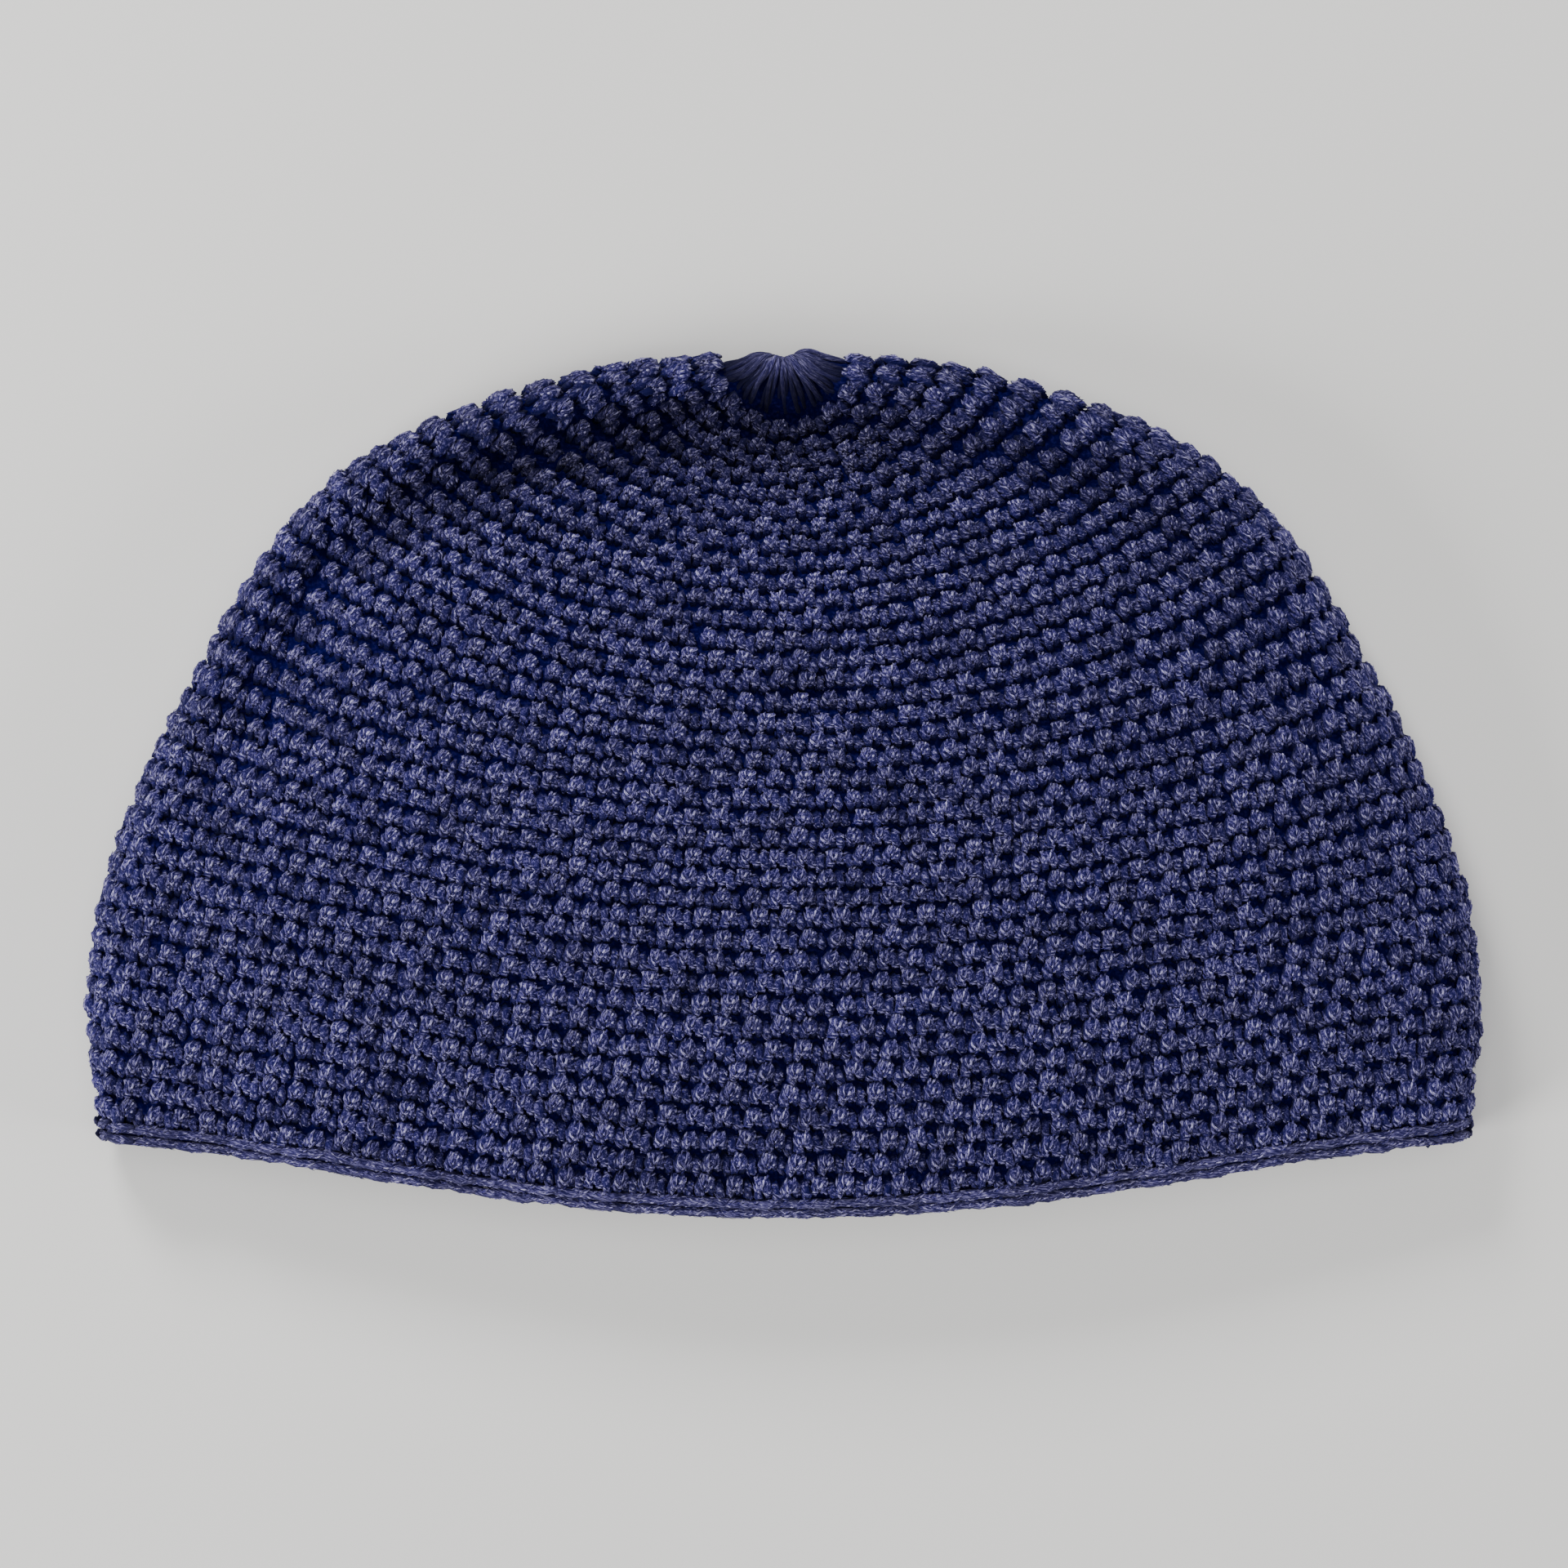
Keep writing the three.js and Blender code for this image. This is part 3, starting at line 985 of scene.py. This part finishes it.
def make_backing(material):
    """The thin wall behind the stitches, closed at the crown and along the rim."""
    rings = LAST_SHELL_ROUND * BACKING_RINGS_PER_ROUND + 1
    around = BACKING_STEPS
    rounds = np.arange(1, rings + 1) / BACKING_RINGS_PER_ROUND
    angles = 2 * math.pi * np.arange(around) / around
    grid = np.meshgrid(rounds, angles, indexing="ij")
    points, _, _, outward = wall_frame(*grid)
    in_groove = np.arange(1, rings + 1) % BACKING_RINGS_PER_ROUND == 0
    outer_depths = np.where(in_groove, BACKING_GROOVE_DEPTH, BACKING_RIB_DEPTH)
    inner_depths = np.full(rings, BACKING_INNER_DEPTH)
    vertices = []
    pole = np.array([0, section_column("fold_y")[0], FOLD_RADIUS])
    for depths in (outer_depths, inner_depths):
        vertices.append(pole - np.array([0, BACKING_INNER_DEPTH, 0]))
        vertices += list((points - depths[:, None, None] * outward).reshape(-1, 3))
    half = 1 + rings * around

    def spot(layer, ring, step):
        return layer * half + 1 + ring * around + step % around

    faces = []
    for step in range(around):
        faces.append((0, spot(0, 0, step + 1), spot(0, 0, step)))
        faces.append((half, spot(1, 0, step), spot(1, 0, step + 1)))
        for ring in range(rings - 1):
            corners = ((ring, step + 1), (ring + 1, step + 1), (ring + 1, step), (ring, step))
            faces.append(tuple(spot(0, *corner) for corner in corners))
            faces.append(tuple(spot(1, *corner) for corner in reversed(corners)))
        last = rings - 1
        faces.append((spot(0, last, step + 1), spot(1, last, step + 1),
                      spot(1, last, step), spot(0, last, step)))
    mesh = mesh_from_arrays("wall_backing", np.array(vertices) * MM, faces)
    # painted shade where the wall lies in its hollows, on both sides of the backing
    hollow_shades = np.concatenate([[0], hollow_shade(points.reshape(-1, 3), outward.reshape(-1, 3))])
    layer = mesh.attributes.new("hollow_shade", "FLOAT", "POINT")
    layer.data.foreach_set("value", np.tile(hollow_shades, 2).astype(np.float32))
    mesh.materials.append(material)
    return new_object("wall_backing", mesh)


def stitch_spots(first, last):
    """Where the stitches of some rounds sit, how they face and how large they are."""
    rows = []
    for number in range(first, last + 1):
        middle = number - 0.5
        angles, width = even_angles(middle, LEAN_PER_ROUND * number)
        rounds = np.full_like(angles, middle)
        points, along, _, outward = wall_frame(rounds, angles)
        height = np.linalg.norm(wall_point(rounds - 0.5, angles) - wall_point(rounds + 0.5, angles), axis=1)
        fit = np.ones((len(angles), 3))
        fit[:, 0] = width / STITCH_WIDTH
        wall_fill = np.interp(middle, WALL_FILL_ROUNDS, WALL_FILL)
        fill = np.interp(fold_distance(points[:, 0], points[:, 1]), FOLD_REACH, (FOLD_FILL, wall_fill))
        fit[:, 1] = np.clip((height / STITCH_HEIGHT) ** fill, *STITCH_STRETCH)
        rows.append((points, along, outward, fit))
    return [np.vstack(part) for part in zip(*rows)]


def lay_stock(name, spots, tree, stock, material, play, seed):
    """Lays one of a stock's meshes on each spot, with some play in place, turn and size."""
    values = {"Strands": stock, "Last kind": len(stock.objects) - 1, "Seed": seed, "Yarn": material}
    return run_tree(name, spots_mesh(name, *spots), tree, {**values, **play})


def make_stitches(name, first, last, tree, stock, material):
    return lay_stock(name, stitch_spots(first, last), tree, stock, material, STITCH_PLAY, first)


def make_inner_stitches(name, first, last, tree, stock, material):
    points, along, outward, fit = stitch_spots(first, last)
    spots = (points - WALL * outward, -along, -outward, fit)
    return lay_stock(name, spots, tree, stock, material, INNER_PLAY, first)


def make_edging(name, tree, stock, material):
    """The chain along the rim, one link for each stitch of the last round."""
    angles, width = even_angles(EDGING_ROUND, LEAN_PER_ROUND * LAST_STITCH_ROUND)
    points, along, _, outward = wall_frame(np.full_like(angles, EDGING_ROUND), angles)
    fit = np.ones((len(angles), 3))
    fit[:, 0] = width / EDGING_LINK_WIDTH
    spots = (points, along, outward, fit)
    return lay_stock(name, spots, tree, stock, material, EDGING_PLAY, EDGING_SEED)


def make_fan(name, tree, material, seed):
    """Long twisted yarns from the crown's centre that dip under the second round."""
    draw = np.random.default_rng(seed)
    path = dict(zip(FAN_COLUMNS, smooth_path(FAN_PATH, FAN_STEPS).T))
    along = np.linspace(0, 1, FAN_STEPS)
    lines, radii, depths, tints, hollow_shades = [], [], [], [], []
    for yarn_number in range(FAN_YARNS):
        place = yarn_number + 0.5 + draw.normal(0, FAN_PLACE_CHANGE)
        thickness = draw.uniform(*FAN_THICKNESS_RANGE)
        start = draw.uniform(0, 2 * math.pi)
        sink = draw.normal(0, FAN_SINK_CHANGE)
        for ply in range(FAN_PLIES):
            turn = start + 2 * math.pi * ply / FAN_PLIES + FAN_TWIST * along
            angles = 2 * math.pi * (place + FAN_SPREAD * np.cos(turn)) / FAN_YARNS
            rounds = path["round"] * np.interp(np.cos(angles) ** 2, (0, 1), FAN_REACH)
            radius = thickness * path["radius"]
            depth = path["depth"] + sink - FAN_PLY_RISE * radius * np.sin(turn)
            outward = wall_frame(np.maximum(rounds, FAN_STEADY_ROUND), angles)[3]
            lines.append(wall_point(rounds, angles) - depth[:, None] * outward)
            radii.append(radius)
            # depth of the yarn's top below the wall, which drives painted shade towards the yarn's ends
            depths.append(radius - depth)
            tints.append(np.full(FAN_STEPS, draw.random()))
            # painted shade where the yarn lies in the wall's hollows
            hollow_shades.append(hollow_shade(lines[-1], outward))
    mesh = lines_mesh(name, *(np.array(part) for part in (lines, radii, depths, tints, hollow_shades)))
    return run_tree(name, mesh, tree, {"Sides": FAN_SIDES, "Yarn": material})


# Studio

def make_floor(material):
    size = FLOOR_HALF_SIZE
    corners = np.array([(-size, -size, 0), (size, -size, 0), (size, size, 0), (-size, size, 0)])
    mesh = mesh_from_arrays("floor", corners, [(0, 1, 2, 3)], smooth=False)
    mesh.materials.append(material)
    return new_object("floor", mesh)


def make_light(name, place, size, power):
    data = bpy.data.lights.new(name, "AREA")
    data.shape = "SQUARE"
    data.size = size
    data.energy = power
    light = new_object(name, data)
    light.location = place
    light.rotation_euler = (-Vector(place)).to_track_quat("-Z", "Y").to_euler()


def make_camera():
    data = bpy.data.cameras.new("photo_camera")
    data.lens = CAMERA_LENS
    data.sensor_width = SENSOR_WIDTH
    camera = new_object("photo_camera", data)
    camera.location = (0, 0, CAMERA_HEIGHT)
    bpy.context.scene.camera = camera


def make_world():
    world = bpy.data.worlds.new("studio")
    world.use_nodes = True
    backdrop = world.node_tree.nodes["Background"]
    backdrop.inputs["Color"].default_value = WORLD_COLOUR
    backdrop.inputs["Strength"].default_value = WORLD_STRENGTH
    bpy.context.scene.world = world


yarn = yarn_material("navy_yarn", **STITCH_YARN)
long_yarn = yarn_material("navy_yarn_drawn_out", **LONG_YARN)
fibres = fibre_material()
# the backing yarn carries painted shade
shaded_backing_yarn = backing_material()
lay_strands = laying_tree()
spin_strands = spinning_tree()
stitch_strands = [(LOOP_STRAND, LOOP_STEPS), (LEG_STRAND, LEG_STEPS)]
edging_strands = [(EDGING_UPPER_STRAND, EDGING_STEPS), (EDGING_LOWER_STRAND, EDGING_STEPS)]
stitch_versions = shaped_strands(stitch_strands, **STITCH_VERSIONS)
inner_versions = shaped_strands([(INNER_STRAND, INNER_STEPS)], **INNER_VERSIONS)
edging_versions = shaped_strands(edging_strands, **EDGING_VERSIONS)
stitch_stock = strand_stock("stitch", stitch_versions, STITCH_SIDES)
fuzz_stock = fibre_stock("stitch_fuzz", stitch_versions, **STITCH_FUZZ)
edging_fuzz_stock = fibre_stock("edging_fuzz", edging_versions, **EDGING_FUZZ)
inner_stock = strand_stock("inner_stitch", inner_versions, INNER_SIDES)
edging_stock = strand_stock("edging_link", edging_versions, EDGING_SIDES)

backing = make_backing(shaded_backing_yarn)
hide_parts("crochet_shell")
edging = make_edging("chain_edging", lay_strands, edging_stock, long_yarn)
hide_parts("rim_edging")
edging_fuzz = make_edging("edging_fuzz", lay_strands, edging_fuzz_stock, fibres)
pieces = [backing, edging, edging_fuzz, make_fan("crown_fan", spin_strands, long_yarn, FAN_SEED)]
for place, first, last in STITCH_BANDS:
    pieces.append(make_stitches(f"{place}_stitches", first, last, lay_strands, stitch_stock, yarn))
    pieces.append(make_stitches(f"{place}_fuzz", first, last, lay_strands, fuzz_stock, fibres))
pieces.append(make_inner_stitches("inside_stitches", *INSIDE_ROUNDS, lay_strands, inner_stock, yarn))
for piece in pieces:
    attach(piece, "root")

make_floor(floor_material())
for light in LIGHTS:
    make_light(*light)
make_camera()
make_world()
